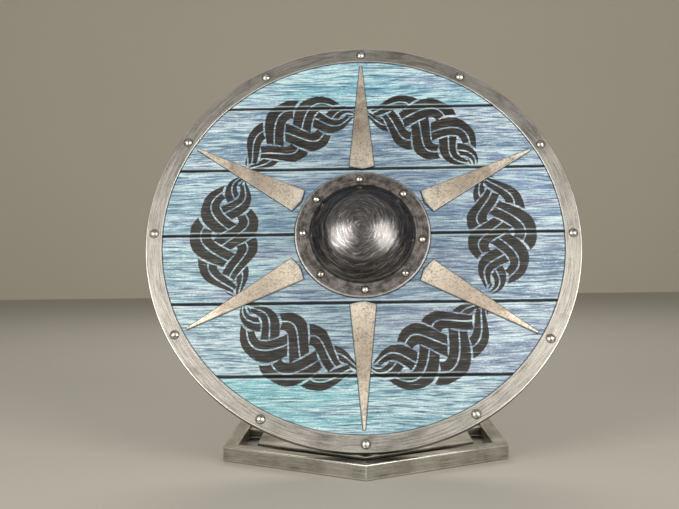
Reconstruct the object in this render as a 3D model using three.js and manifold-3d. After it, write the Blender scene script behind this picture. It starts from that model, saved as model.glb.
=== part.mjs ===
// A round plank shield with a steel rim, a domed boss and six flat spikes, leaning on a hexagonal
// steel stand. Millimetres, +Z up, +X to the viewer's right, and the shield faces -Y.
// The origin is on the table, under the centre of the hexagon.
import * as THREE from 'three';
import { mergeVertices } from 'three/addons/utils/BufferGeometryUtils.js';
import Module from 'manifold-3d';

// ---- Driving dimensions -------------------------------------------------------------------------
const GAP = 0.3;                     // clearance between pieces that touch
const CUT_MARGIN = 1;                // how far a cutting tool runs past what it cuts
const LEAN = THREE.MathUtils.degToRad(22);
const INCH = 25.4;

const SHIELD_DIAMETER = 610;
const PLANK_COUNT = 6;
const PLANK_WIDTH = 4 * INCH;
const PLANK_THICKNESS = 0.5 * INCH;
const SEAM_BEVEL = 1.9;              // chamfer along each plank edge: two of them make a V groove
const RIM_BAND = 23;                 // width of the rim's front flange
const RIM_BACK_BAND = 20;
const RIM_SHEET = 1.5;
const RIM_ROUND = 1;                 // softened outer corners of the rim

const BOSS_DIAMETER = 190;
const DOME_DIAMETER = 146;
const DOME_RISE = 37;                // from the flange to the crown
const DOME_STEP = 1.6;               // upright wall at the foot of the dome
const BOSS_SHEET = 2;
const FLANGE_CHAMFER = 0.5;
const DOME_FILLET = 1;               // flat of the flange left clear of the dome's foot
const HAND_HOLE_DIAMETER = 120;

const SPIKE_ROOT = 104;              // from the shield's centre to the corners of the wide end
const SPIKE_TIP = 275;
const SPIKE_WIDTH = 36;
const SPIKE_TIP_WIDTH = 2.8;
const SPIKE_POINT = 5;               // how far the wide end points towards the boss
const SPIKE_SHEET = 2;
const SPIKE_CHAMFER = 0.4;

const RIM_HEAD = { radius: 6, height: 2.8 };
const BOSS_HEAD = { radius: 5, height: 2.6 };
const SHANK_RADIUS = 2.2;
const HOLE_RADIUS = SHANK_RADIUS + 2 * GAP;
const HEAD_CURVE = [[1, 0], [0.94, 0.35], [0.64, 0.8], [0, 1]];   // shares of its radius and height
const TAIL_CURVE = [[0, 0.6], [0.525, 0.6], [0.75, 0]];           // the same, for the peened tail
const DRILL_REACH = 60;

const BATTEN_THICKNESS = 10;
const BATTEN_WIDTH = 34;
const BATTEN_OFFSET = 150;
const BATTEN_CHAMFER = 2;
const BATTEN_CLEARANCE = 4;          // between a batten's corners and the rim's back flange
const GRIP_LENGTH = 540;
const GRIP_WIDTH = 40;
const GRIP_WAIST = 28;
const GRIP_SHOULDER = 10;            // the grip is widest this far outside the hand hole
const GRIP_CHAMFER = 2.5;

const TUBE = 20;                     // square tube of the stand
const TUBE_CORNER = 1.2;
const STAND_SIDE = 225;              // outer side of the hexagon
const PLATE_SIDE = 172;
const PLATE_THICKNESS = 4;
const PLATE_CHAMFER = 0.6;
const PLATE_FORWARD = 8;             // the plate sits this far in front of the hexagon's centre
const BAR_HEIGHT = 12;
const CROSS_BARS = { 'cross-bar-front': 34, 'cross-bar-back': 86 };   // each bar's middle, in Y
const FOOT_INSET = 51;               // from the stand's front corner back to the shield's foot
const REST_HEIGHT = 112;             // middle of the rest bar, measured up the shield from its centre
const REST_BAR = { length: 340, width: 24, thickness: 5 };
const STRUT_WIDTH = 16;
const STRUT_FOOT = 86;               // the strut's foot, in Y
const STRUT_HEAD = 50;               // where it meets the post, up from the shield's centre
const STRUT_HEAD_LENGTH = 26;

// Hand placed fastenings and spikes, in degrees anticlockwise from the viewer's right.
const RIM_RIVET_ANGLES = [
  359.3, 27.6, 59.4, 89.7, 118.9, 149.7, 179.3, 209.6, 242.4, 270.1, 299.3, 327.9,
];
const BOSS_RIVET_ANGLES = [45.5, 92.2, 140.8, 179.1, 226.1, 271.7, 313.9, 352.6];
const SPIKE_ANGLES = [27.6, 89.8, 150.2, 209.7, 269.7, 327.7];

// Facets around the round pieces.
const RIM_FACETS = 80;
const BOSS_FACETS = 40;
const HOLE_FACETS = 8;
const RIVET_FACETS = 9;
const DOME_RINGS = 9;
const HOLLOW_RINGS = 6;
const CURVE_STEPS = 6;

// ---- Finishes -----------------------------------------------------------------------------------
const finish = (color, roughness, metalness) =>
  () => new THREE.MeshStandardMaterial({ color, roughness, metalness });
const stainedWood = finish(0x6c9cae, 0.6, 0);
const bareWood = finish(0x8a6a48, 0.75, 0);
const rimSteel = finish(0x8d8780, 0.4, 1);
const bossSteel = finish(0x4d4844, 0.3, 1);
const spikeSteel = finish(0xb2a595, 0.5, 1);
const rivetSteel = finish(0xd8d4cc, 0.25, 1);
const standSteel = finish(0x9a978c, 0.38, 1);

// ---- Solid tools --------------------------------------------------------------------------------
const wasm = await Module();
wasm.setup();

function toSolid(geometry) {
  const bare = geometry.clone();
  bare.deleteAttribute('normal');
  bare.deleteAttribute('uv');
  const merged = mergeVertices(bare, 1e-4);
  return new wasm.Manifold(new wasm.Mesh({
    numProp: 3,
    vertProperties: new Float32Array(merged.attributes.position.array),
    triVerts: new Uint32Array(merged.index.array),
  }));
}

function toGeometry(solid) {
  const mesh = solid.getMesh();
  const geometry = new THREE.BufferGeometry();
  geometry.setAttribute('position', new THREE.BufferAttribute(mesh.vertProperties, mesh.numProp));
  geometry.setIndex(new THREE.BufferAttribute(mesh.triVerts, 1));
  geometry.computeVertexNormals();
  return geometry;
}

const cut = (geometry, ...tools) => toGeometry(
  tools.reduce((solid, tool) => solid.subtract(toSolid(tool)), toSolid(geometry)));

const common = (a, b) => toGeometry(toSolid(a).intersect(toSolid(b)));

function outline(points) {
  return new THREE.Shape(points.map(([x, y]) => new THREE.Vector2(x, y)));
}

// A flat outline given thickness from z = bottom upwards, with an optional chamfer on both faces.
function slab(shape, bottom, thickness, chamfer = 0) {
  const geometry = new THREE.ExtrudeGeometry(shape, {
    depth: thickness - 2 * chamfer,
    curveSegments: CURVE_STEPS,
    bevelEnabled: chamfer > 0,
    bevelSegments: 1,
    bevelThickness: chamfer,
    bevelSize: chamfer,
    bevelOffset: -chamfer,
  });
  return geometry.translate(0, 0, bottom + chamfer);
}

// A closed profile of [radius, height] points, turned around the Z axis.
function turned(profile, facets) {
  const points = profile.map(([r, z]) => new THREE.Vector2(r, z));
  return new THREE.LatheGeometry(points, facets).rotateX(Math.PI / 2);
}

function disc(radius, bottom, top, facets, x = 0, y = 0) {
  const geometry = new THREE.CylinderGeometry(radius, radius, top - bottom, facets);
  return geometry.rotateX(Math.PI / 2).translate(x, y, (top + bottom) / 2);
}

// A section in Y and Z, run along X and centred on it.
function alongX(points, length) {
  const geometry = new THREE.ExtrudeGeometry(outline(points), { depth: length, bevelEnabled: false });
  return geometry.rotateX(Math.PI / 2).rotateZ(Math.PI / 2).translate(-length / 2, 0, 0);
}

const polar = (radius, degrees) => {
  const angle = THREE.MathUtils.degToRad(degrees);
  return [radius * Math.cos(angle), radius * Math.sin(angle)];
};

function place(parent, name, geometry, material) {
  const mesh = new THREE.Mesh(geometry, material());
  mesh.name = name;
  parent.add(mesh);
  return mesh;
}

// ---- The shield, drawn flat: Z = 0 is the planks' front face, Y runs up the shield ---------------
const radius = SHIELD_DIAMETER / 2;
const plankRadius = radius - RIM_SHEET - GAP;
const rimFront = GAP + RIM_SHEET;
const rimBack = -(PLANK_THICKNESS + GAP + RIM_SHEET);
const rimRivetRadius = radius - RIM_BAND / 2;
const bossRivetRadius = (BOSS_DIAMETER + DOME_DIAMETER) / 4;
const bossFlangeTop = GAP + BOSS_SHEET;
const battenFront = -(PLANK_THICKNESS + GAP);
const battenBack = battenFront - BATTEN_THICKNESS;
const rivetSpots = [
  ...RIM_RIVET_ANGLES.map((angle) => polar(rimRivetRadius, angle)),
  ...BOSS_RIVET_ANGLES.map((angle) => polar(bossRivetRadius, angle)),
];

const drill = ([x, y]) => disc(HOLE_RADIUS, -DRILL_REACH, DRILL_REACH, HOLE_FACETS, x, y);

const shield = new THREE.Group();
shield.rotation.x = Math.PI / 2 - LEAN;
shield.position.set(
  0,
  -STAND_SIDE + FOOT_INSET + radius * Math.sin(LEAN) + rimBack * Math.cos(LEAN),
  TUBE + GAP + radius * Math.cos(LEAN) - rimBack * Math.sin(LEAN),
);

function plank(index) {
  const low = (index - PLANK_COUNT / 2) * PLANK_WIDTH + GAP / 2;
  const high = low + PLANK_WIDTH - GAP;
  const section = [
    [low, -PLANK_THICKNESS],
    [high, -PLANK_THICKNESS],
    [high, -SEAM_BEVEL],
    [high - SEAM_BEVEL, 0],
    [low + SEAM_BEVEL, 0],
    [low, -SEAM_BEVEL],
  ];
  const board = common(
    alongX(section, SHIELD_DIAMETER),
    disc(plankRadius, -PLANK_THICKNESS - CUT_MARGIN, CUT_MARGIN, RIM_FACETS),
  );
  const drills = rivetSpots
    .filter(([, y]) => y > low - HOLE_RADIUS && y < high + HOLE_RADIUS)
    .map(drill);
  const handHole = disc(HAND_HOLE_DIAMETER / 2, -DRILL_REACH, DRILL_REACH, BOSS_FACETS);
  return cut(board, handHole, ...drills);
}

for (let i = 0; i < PLANK_COUNT; i += 1) {
  place(shield, `plank-${i + 1}`, plank(i), stainedWood);
}

// The rim is a U-shaped steel channel that wraps the edge of the planks.
function rim() {
  const inner = radius - RIM_BAND;
  const innerBack = radius - RIM_BACK_BAND;
  const channel = turned([
    [inner, GAP],
    [plankRadius + GAP, GAP],
    [plankRadius + GAP, -PLANK_THICKNESS - GAP],
    [innerBack, -PLANK_THICKNESS - GAP],
    [innerBack, rimBack],
    [radius - RIM_ROUND, rimBack],
    [radius, rimBack + RIM_ROUND],
    [radius, rimFront - RIM_ROUND],
    [radius - RIM_ROUND, rimFront],
    [inner, rimFront],
    [inner, GAP],
  ], RIM_FACETS);
  const spots = RIM_RIVET_ANGLES.map((angle) => polar(rimRivetRadius, angle));
  return cut(channel, ...spots.map(drill));
}
place(shield, 'rim', rim(), rimSteel);

// Points on a spherical cap of the given foot radius and rise, from the crown to the foot.
function cap(foot, rise, base, steps) {
  const sphere = (foot * foot + rise * rise) / (2 * rise);
  const sweep = Math.asin(foot / sphere);
  return Array.from({ length: steps + 1 }, (_, i) => {
    const angle = (sweep * i) / steps;
    return [sphere * Math.sin(angle), base + rise - sphere * (1 - Math.cos(angle))];
  });
}

function boss() {
  const edge = BOSS_DIAMETER / 2;
  const foot = DOME_DIAMETER / 2;
  const outside = cap(foot, DOME_RISE - DOME_STEP, bossFlangeTop + DOME_STEP, DOME_RINGS);
  const inside = cap(foot - BOSS_SHEET, DOME_RISE - BOSS_SHEET, bossFlangeTop, HOLLOW_RINGS);
  const shell = turned([
    ...inside,
    [foot - BOSS_SHEET, GAP],
    [edge, GAP],
    [edge, bossFlangeTop - FLANGE_CHAMFER],
    [edge - FLANGE_CHAMFER, bossFlangeTop],
    [foot + DOME_FILLET, bossFlangeTop],
    ...outside.reverse(),
  ], BOSS_FACETS);
  const spots = BOSS_RIVET_ANGLES.map((angle) => polar(bossRivetRadius, angle));
  return cut(shell, ...spots.map(drill));
}
place(shield, 'boss', boss(), bossSteel);

// A rivet: domed head on the sheet in front, shank through the shield, peened tail behind.
function rivet(head, sheetTop, backFace) {
  const under = sheetTop + GAP;
  const tailTop = backFace - GAP;
  return turned([
    ...TAIL_CURVE.map(([r, z]) => [r * head.radius, tailTop - z * head.height]),
    [SHANK_RADIUS, tailTop],
    [SHANK_RADIUS, under],
    ...HEAD_CURVE.map(([r, z]) => [r * head.radius, under + z * head.height]),
  ], RIVET_FACETS);
}

RIM_RIVET_ANGLES.forEach((angle, i) => {
  const geometry = rivet(RIM_HEAD, rimFront, rimBack);
  place(shield, `rim-rivet-${i + 1}`, geometry, rivetSteel)
    .position.set(...polar(rimRivetRadius, angle), 0);
});

BOSS_RIVET_ANGLES.forEach((angle, i) => {
  const [x, y] = polar(bossRivetRadius, angle);
  const back = Math.abs(x) < GRIP_WIDTH / 2 ? battenBack : -PLANK_THICKNESS;
  const geometry = rivet(BOSS_HEAD, bossFlangeTop, back);
  place(shield, `boss-rivet-${i + 1}`, geometry, rivetSteel).position.set(x, y, 0);
});

// Six flat steel spikes, each a long taper with its wide end bluntly pointed at the boss.
SPIKE_ANGLES.forEach((angle, i) => {
  const shape = outline([
    [SPIKE_ROOT - SPIKE_POINT, 0],
    [SPIKE_ROOT, -SPIKE_WIDTH / 2],
    [SPIKE_TIP, -SPIKE_TIP_WIDTH / 2],
    [SPIKE_TIP, SPIKE_TIP_WIDTH / 2],
    [SPIKE_ROOT, SPIKE_WIDTH / 2],
  ]);
  place(shield, `spike-${i + 1}`, slab(shape, GAP, SPIKE_SHEET, SPIKE_CHAMFER), spikeSteel)
    .rotation.z = THREE.MathUtils.degToRad(angle);
});

// ---- The shield's back: two battens and the grip, across the planks -------------------------------
const battenReach = radius - RIM_BACK_BAND - BATTEN_CLEARANCE;

for (const [name, side] of [['batten-left', -1], ['batten-right', 1]]) {
  const outer = BATTEN_OFFSET + BATTEN_WIDTH / 2;
  const half = Math.sqrt(battenReach ** 2 - outer ** 2);
  const w = BATTEN_WIDTH / 2;
  const shape = outline([[-w, -half], [w, -half], [w, half], [-w, half]]);
  place(shield, name, slab(shape, battenBack, BATTEN_THICKNESS, BATTEN_CHAMFER), bareWood)
    .position.x = side * BATTEN_OFFSET;
}

function grip() {
  const end = GRIP_LENGTH / 2;
  const shoulder = HAND_HOLE_DIAMETER / 2 + GRIP_SHOULDER;
  const w = GRIP_WIDTH / 2;
  const waist = GRIP_WAIST / 2;
  const shape = new THREE.Shape();
  shape.moveTo(-waist, -end);
  shape.lineTo(waist, -end);
  shape.quadraticCurveTo(w, -end / 2, w, -shoulder);
  shape.quadraticCurveTo(waist, -shoulder / 2, waist, 0);
  shape.quadraticCurveTo(waist, shoulder / 2, w, shoulder);
  shape.quadraticCurveTo(w, end / 2, waist, end);
  shape.lineTo(-waist, end);
  shape.quadraticCurveTo(-w, end / 2, -w, shoulder);
  shape.quadraticCurveTo(-waist, shoulder / 2, -waist, 0);
  shape.quadraticCurveTo(-waist, -shoulder / 2, -w, -shoulder);
  shape.quadraticCurveTo(-w, -end / 2, -waist, -end);
  const bar = slab(shape, battenBack, BATTEN_THICKNESS, GRIP_CHAMFER);
  const spots = rivetSpots.filter(([x, y]) => Math.abs(x) < w && Math.abs(y) < end);
  return cut(bar, ...spots.map(drill));
}
place(shield, 'grip', grip(), bareWood);

// ---- The stand ----------------------------------------------------------------------------------
const stand = new THREE.Group();

// One side of the hexagon: a square tube with mitred ends, its outer face at y = -apothem.
function frameTube() {
  const apothem = STAND_SIDE * Math.cos(Math.PI / 6);
  const c = TUBE_CORNER;
  const section = [
    [c, 0], [TUBE - c, 0], [TUBE, c], [TUBE, TUBE - c],
    [TUBE - c, TUBE], [c, TUBE], [0, TUBE - c], [0, c],
  ].map(([y, z]) => [y - apothem, z]);
  const far = apothem + CUT_MARGIN;
  const half = far * Math.tan(Math.PI / 6) - GAP;
  const wedge = outline([[0, GAP], [-half, -far], [half, -far]]);
  return common(alongX(section, 2 * STAND_SIDE), slab(wedge, -CUT_MARGIN, TUBE + 2 * CUT_MARGIN));
}
const FRAME_TUBES = ['front-left', 'front-right', 'right', 'back-right', 'back-left', 'left'];
FRAME_TUBES.forEach((name, i) => {
  place(stand, `frame-tube-${name}`, frameTube(), standSteel).rotation.z = ((i - 0.5) * Math.PI) / 3;
});

const plateTop = TUBE;
const plateCorners = [270, 330, 30, 90, 150, 210].map((angle) => polar(PLATE_SIDE, angle));
const plateShape = outline(plateCorners);
place(
  stand,
  'base-plate',
  slab(plateShape, plateTop - PLATE_THICKNESS, PLATE_THICKNESS, PLATE_CHAMFER),
  standSteel,
).position.y = -PLATE_FORWARD;

// Two bars carry the plate between the left and right tubes of the hexagon.
const barTop = plateTop - PLATE_THICKNESS - GAP;
const barLength = 2 * (STAND_SIDE * Math.cos(Math.PI / 6) - TUBE - GAP);
for (const [name, y] of Object.entries(CROSS_BARS)) {
  const section = [
    [y - TUBE / 2, barTop - BAR_HEIGHT],
    [y + TUBE / 2, barTop - BAR_HEIGHT],
    [y + TUBE / 2, barTop],
    [y - TUBE / 2, barTop],
  ];
  place(stand, name, alongX(section, barLength), standSteel);
}

// A point of the shield's side view, [up the shield, out of its front], as [y, z] in the frame.
function sideView([v, w]) {
  return [
    shield.position.y + v * Math.sin(LEAN) - w * Math.cos(LEAN),
    shield.position.z + v * Math.cos(LEAN) + w * Math.sin(LEAN),
  ];
}

// The distance up the shield at which depth w stands at height z.
const upAt = (w, z) => (z - shield.position.z - w * Math.sin(LEAN)) / Math.cos(LEAN);

const restFront = battenBack - GAP;
const restBack = restFront - REST_BAR.thickness;
place(stand, 'rest-bar', alongX([
  [REST_HEIGHT - REST_BAR.width / 2, restFront],
  [REST_HEIGHT - REST_BAR.width / 2, restBack],
  [REST_HEIGHT + REST_BAR.width / 2, restBack],
  [REST_HEIGHT + REST_BAR.width / 2, restFront],
].map(sideView), REST_BAR.length), standSteel);

// The post leans with the shield, from the plate up to the rest bar.
const postFront = restBack - GAP;
const postBack = postFront - TUBE;
const postTop = REST_HEIGHT + REST_BAR.width / 2;
const postFootHeight = plateTop + GAP;
place(stand, 'post', alongX([
  [upAt(postFront, postFootHeight), postFront],
  [upAt(postBack, postFootHeight), postBack],
  [postTop, postBack],
  [postTop, postFront],
].map(sideView), TUBE), standSteel);

// The strut props the post from behind.
const strutFace = postBack - GAP;
place(stand, 'strut', alongX([
  sideView([STRUT_HEAD, strutFace]),
  [STRUT_FOOT - STRUT_WIDTH / 2, postFootHeight],
  [STRUT_FOOT + STRUT_WIDTH / 2, postFootHeight],
  sideView([STRUT_HEAD + STRUT_HEAD_LENGTH, strutFace]),
], STRUT_WIDTH), standSteel);

const object = new THREE.Group();
object.add(shield, stand);

export default object;
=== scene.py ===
"""A round plank shield with a steel rim, a domed boss and six flat spikes, on a hexagonal steel stand.

Metres, +Z up, +X to the viewer's right. The shield faces -Y and leans back on its stand.
"""
import math

import bmesh
import bpy
from mathutils import Matrix, Vector


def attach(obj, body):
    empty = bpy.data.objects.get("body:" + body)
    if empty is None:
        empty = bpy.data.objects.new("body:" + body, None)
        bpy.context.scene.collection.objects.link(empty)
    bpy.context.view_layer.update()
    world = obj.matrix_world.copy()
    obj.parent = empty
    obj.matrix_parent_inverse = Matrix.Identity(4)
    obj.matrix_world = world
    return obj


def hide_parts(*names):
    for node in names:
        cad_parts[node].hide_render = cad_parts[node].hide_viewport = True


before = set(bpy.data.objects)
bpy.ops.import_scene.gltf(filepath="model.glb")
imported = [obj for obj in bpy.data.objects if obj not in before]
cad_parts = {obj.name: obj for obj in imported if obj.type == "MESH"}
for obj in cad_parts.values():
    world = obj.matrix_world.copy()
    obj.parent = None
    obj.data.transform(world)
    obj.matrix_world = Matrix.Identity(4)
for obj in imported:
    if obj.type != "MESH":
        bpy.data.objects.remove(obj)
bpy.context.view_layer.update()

MM = 0.001

# ---- Where the shield lies: u to the right, v up its face, w out of its front
LEAN = math.radians(22)
SHIELD_CENTRE = Vector((0.0, -73.19, 308.52)) * MM
SHIELD_PLACE = Matrix((
    (1, 0, 0, SHIELD_CENTRE.x),
    (0, math.sin(LEAN), -math.cos(LEAN), SHIELD_CENTRE.y),
    (0, math.cos(LEAN), math.sin(LEAN), SHIELD_CENTRE.z),
    (0, 0, 0, 1),
))

SHIELD_RADIUS = 305.0
PLANK_COUNT = 6
PLANK_WIDTH = 101.6
PLANK_THICKNESS = 12.7
PLANK_RADIUS = 303.2
GAP = 0.3
HAND_HOLE_RADIUS = 60.0
RIM_INNER = 282.0
RIM_BACK_INNER = 285.0
RIM_SHEET = 1.5
RIM_FRONT = GAP + RIM_SHEET
RIM_BACK = -(PLANK_THICKNESS + GAP + RIM_SHEET)
RIM_RIVET_RADIUS = 293.5
RIM_HEAD_RADIUS = 6.0
BOSS_HEAD_RADIUS = 5.0
RIM_RIVET_ANGLES = (
    359.3, 27.6, 59.4, 89.7, 118.9, 149.7, 179.3, 209.6, 242.4, 270.1, 299.3, 327.9,
)
BOSS_RADIUS = 95.0
DOME_RADIUS = 73.0
DOME_RISE = 37.0
DOME_STEP = 1.6
BOSS_SHEET = 2.0
BOSS_FRONT = GAP + BOSS_SHEET
BOSS_RIVET_RADIUS = 84.0
BOSS_RIVET_ANGLES = (45.5, 92.2, 140.8, 179.1, 226.1, 271.7, 313.9, 352.6)
SPIKE_ANGLES = (27.6, 89.8, 150.2, 209.7, 269.7, 327.7)
SPIKE_ROOT = 104.0
SPIKE_TIP = 275.0
SPIKE_WIDTH = 36.0
SPIKE_POINT = 5.0
SPIKE_TIP_HALF = 1.4
SPIKE_FRONT = GAP + 2.0
BATTEN_BACK = -23.0
GRIP_HALF_WIDTH = 20.0
TUBE = 20.0
STAND_SIDE = 225.0


# ---- Node trees as expressions
def socket_named(sockets, key):
    """The socket with this identifier, or else with this name."""
    for socket in sockets:
        if socket.identifier == key:
            return socket
    return sockets[key]


class Value:
    """A number that a node gives. An expression on it adds Math nodes."""

    def __init__(self, graph, socket):
        self.graph = graph
        self.socket = socket

    def __add__(self, other):
        return self.graph.maths("ADD", self, other)

    def __radd__(self, other):
        return self.graph.maths("ADD", other, self)

    def __sub__(self, other):
        return self.graph.maths("SUBTRACT", self, other)

    def __rsub__(self, other):
        return self.graph.maths("SUBTRACT", other, self)

    def __mul__(self, other):
        return self.graph.maths("MULTIPLY", self, other)

    def __rmul__(self, other):
        return self.graph.maths("MULTIPLY", other, self)

    def __truediv__(self, other):
        return self.graph.maths("DIVIDE", self, other)

    def __rtruediv__(self, other):
        return self.graph.maths("DIVIDE", other, self)

    def __pow__(self, other):
        return self.graph.maths("POWER", self, other)

    def __lt__(self, other):
        return self.graph.maths("LESS_THAN", self, other)

    def __gt__(self, other):
        return self.graph.maths("GREATER_THAN", self, other)

    def __abs__(self):
        return self.graph.maths("ABSOLUTE", self)


class Graph:
    """A node tree, with one method for every node it takes."""

    def __init__(self, tree, material=None):
        self.tree = tree
        self.material = material

    def node(self, kind, settings=None, values=None):
        made = self.tree.nodes.new(kind)
        for name, setting in (settings or {}).items():
            setattr(made, name, setting)
        for key, value in (values or {}).items():
            socket = made.inputs[key] if isinstance(key, int) else socket_named(made.inputs, key)
            if isinstance(value, Value):
                self.tree.links.new(value.socket, socket)
            elif isinstance(value, bpy.types.NodeSocket):
                self.tree.links.new(value, socket)
            else:
                socket.default_value = value
        return made

    def out(self, kind, output, settings=None, values=None):
        return socket_named(self.node(kind, settings, values).outputs, output)

    def value(self, kind, output, settings=None, values=None):
        return Value(self, self.out(kind, output, settings, values))

    def maths(self, operation, *values):
        return self.value("ShaderNodeMath", "Value", {"operation": operation}, dict(enumerate(values)))

    def cos(self, angle):
        return self.maths("COSINE", angle)

    def sin(self, angle):
        return self.maths("SINE", angle)

    def largest(self, a, b):
        return self.maths("MAXIMUM", a, b)

    def smallest(self, a, b):
        return self.maths("MINIMUM", a, b)

    def distance(self, a, b):
        return self.maths("SQRT", a * a + b * b)

    def bearing(self, x, y):
        """The direction of x, y in degrees."""
        return self.maths("ARCTAN2", y, x) * math.degrees(1)

    def past_nearest(self, value, spacing):
        """How far the value lies past the nearest multiple of the spacing."""
        return self.maths("FLOORED_MODULO", value + spacing / 2, spacing) - spacing / 2

    def surface_mark(self, name):
        """A number that the mesh carries, for a material."""
        return self.value("ShaderNodeAttribute", "Fac", {"attribute_name": name})

    def point_mark(self, name):
        """A number that the mesh carries, for a geometry tree."""
        return self.value("GeometryNodeInputNamedAttribute", "Attribute", {"data_type": "FLOAT"}, {
            "Name": name,
        })

    def step(self, value, start, end, low=0.0, high=1.0):
        """Goes smoothly from low at start to high at end."""
        settings = {"interpolation_type": "SMOOTHSTEP", "clamp": True}
        given = {"Value": value, "From Min": start, "From Max": end, "To Min": low, "To Max": high}
        return self.value("ShaderNodeMapRange", "Result", settings, given)

    def vector(self, x, y, z):
        return self.out("ShaderNodeCombineXYZ", "Vector", None, {"X": x, "Y": y, "Z": z})

    def parts(self, vector):
        made = self.node("ShaderNodeSeparateXYZ", None, {"Vector": vector})
        return [Value(self, socket) for socket in made.outputs]

    def noise(self, vector, scale=1.0, detail=2.0, roughness=0.5, distortion=0.0):
        """Runs from about 0.3 to 0.7, with 0.5 in the middle."""
        return self.value("ShaderNodeTexNoise", "Fac", None, {
            "Vector": vector, "Scale": scale, "Detail": detail,
            "Roughness": roughness, "Distortion": distortion,
        })

    def noise_at(self, x, y, z, **settings):
        return self.noise(self.vector(x, y, z), **settings)

    def mix(self, factor, a, b):
        settings = {"data_type": "RGBA", "blend_type": "MIX", "clamp_factor": True}
        given = {"Factor_Float": factor, "A_Color": a, "B_Color": b}
        return self.out("ShaderNodeMix", "Result_Color", settings, given)


def paint(red, green, blue):
    """A colour as it looks on a screen, 0 to 255, as the linear colour that a material takes."""
    def linear(level):
        share = level / 255
        return share / 12.92 if share <= 0.04045 else ((share + 0.055) / 1.055) ** 2.4
    return (linear(red), linear(green), linear(blue), 1.0)


def polar(radius, degrees):
    angle = math.radians(degrees)
    return radius * math.cos(angle), radius * math.sin(angle)


# ---- Finishes
def new_material(name):
    material = bpy.data.materials.new(name)
    material.use_nodes = True
    material.node_tree.nodes.clear()
    return Graph(material.node_tree, material)


def finish_material(g, colour, roughness, height, depth_mm, metallic=0.0):
    """Joins the colour, roughness and relief to the surface, and gives back the material."""
    relief = g.out("ShaderNodeBump", "Normal", None, {
        "Strength": 1.0, "Distance": depth_mm * MM, "Height": height,
    })
    given = {"Base Color": colour, "Roughness": roughness, "Metallic": metallic, "Normal": relief}
    surface = g.out("ShaderNodeBsdfPrincipled", "BSDF", None, given)
    g.node("ShaderNodeOutputMaterial", None, {"Surface": surface})
    return g.material


def shield_millimetres(g):
    """u, v and w in the shield's own directions, in millimetres from its centre."""
    turn = LEAN - math.pi / 2
    turned = Matrix.Rotation(turn, 3, "X") @ SHIELD_CENTRE
    centred = g.out("ShaderNodeMapping", "Vector", {"vector_type": "POINT"}, {
        "Vector": g.out("ShaderNodeTexCoord", "Object"),
        "Location": tuple(-turned / MM),
        "Rotation": (turn, 0.0, 0.0),
        "Scale": (1 / MM, 1 / MM, 1 / MM),
    })
    return g.parts(centred)


def object_millimetres(g):
    scaled = g.out("ShaderNodeMapping", "Vector", {"vector_type": "POINT"}, {
        "Vector": g.out("ShaderNodeTexCoord", "Object"),
        "Scale": (1 / MM, 1 / MM, 1 / MM),
    })
    return g.parts(scaled)


# The plaited bands between the spikes: three strands that cross over and under, one band a sector.
PLAIT_MIDDLE = 194.0
PLAIT_SWING = 34.0
PLAIT_REACH = 27.5
PLAIT_TURNS = 1.25
PLAIT_HALF_WIDTH = 15.0
PLAIT_GAP = 2.8
PLAIT_LINE = 1.0
PLAIT_TAPER = 0.12
PLAIT_POWER = 0.75
PLAIT_EDGE = 0.35
PLAIT_END = 0.9999
PLAIT_CROSSING = 0.6
STRANDS = 3
SECTOR = 60.0


def plait(g, u, v, ragged):
    """1 where the bands are painted black. The ragged edge follows the grain, in millimetres."""
    radius = g.distance(u, v)
    across = g.past_nearest(g.bearing(u, v), SECTOR)
    along = g.largest(g.smallest(across / PLAIT_REACH, PLAIT_END), -PLAIT_END)
    quarter = along * (math.pi / 2)
    swell = g.cos(quarter) ** PLAIT_POWER
    swell_slope = (g.cos(quarter) ** (PLAIT_POWER - 1)) * g.sin(quarter) * (PLAIT_POWER * math.pi / 2)
    half_width = swell * (PLAIT_HALF_WIDTH * (1 - PLAIT_TAPER)) + PLAIT_HALF_WIDTH * PLAIT_TAPER
    wave = PLAIT_TURNS * math.pi
    arc = PLAIT_MIDDLE * math.radians(PLAIT_REACH)
    distances = []
    heights = []
    for strand in range(STRANDS):
        phase = along * wave + 2 * math.pi * strand / STRANDS
        centre = swell * g.cos(phase) * PLAIT_SWING
        slope = (swell * g.sin(phase) * wave + swell_slope * g.cos(phase)) * (-PLAIT_SWING / arc)
        off = abs(radius - PLAIT_MIDDLE - centre) / g.distance(slope, 1)
        distances.append(off + ragged)
        heights.append(g.sin(phase * 2))
    black = None
    for strand in range(STRANDS):
        off = distances[strand]
        body = g.step(off - half_width, -PLAIT_EDGE, PLAIT_EDGE, 1.0, 0.0)
        body = body * g.step(off, PLAIT_LINE - PLAIT_EDGE, PLAIT_LINE + PLAIT_EDGE)
        for other in range(STRANDS):
            if other != strand:
                under = heights[other] > heights[strand]
                gap = g.step(heights[other] - heights[strand], 0.0, PLAIT_CROSSING) * PLAIT_GAP
                near = g.step(distances[other] - half_width - gap, -PLAIT_EDGE, PLAIT_EDGE, 1.0, 0.0)
                body = body * (1 - near * under)
        black = body if black is None else g.largest(black, body)
    return black * (abs(across) < PLAIT_REACH)


# The stain of each board from the bottom up, towards the shield's left and right.
STAIN_LEFT = (
    paint(114, 174, 182), paint(128, 156, 170), paint(126, 160, 174),
    paint(108, 144, 166), paint(106, 136, 158), paint(112, 168, 184),
)
STAIN_RIGHT = (
    paint(104, 144, 160), paint(126, 142, 166), paint(114, 138, 164),
    paint(118, 144, 174), paint(112, 136, 164), paint(112, 166, 186),
)
PALE_STAIN = paint(198, 220, 224)
WHITE_STAIN = paint(232, 244, 242)
DEEP_STAIN = paint(46, 72, 98)
MAUVE_STAIN = paint(140, 136, 168)
GROOVE_AND_SHADOW_BLACK = paint(18, 20, 22)
PLAIT_BLACK = paint(14, 13, 11)
PLAIT_GREY = paint(58, 54, 47)
OLD_PINE = paint(176, 142, 104)
DARK_PINE = paint(122, 92, 64)


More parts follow.
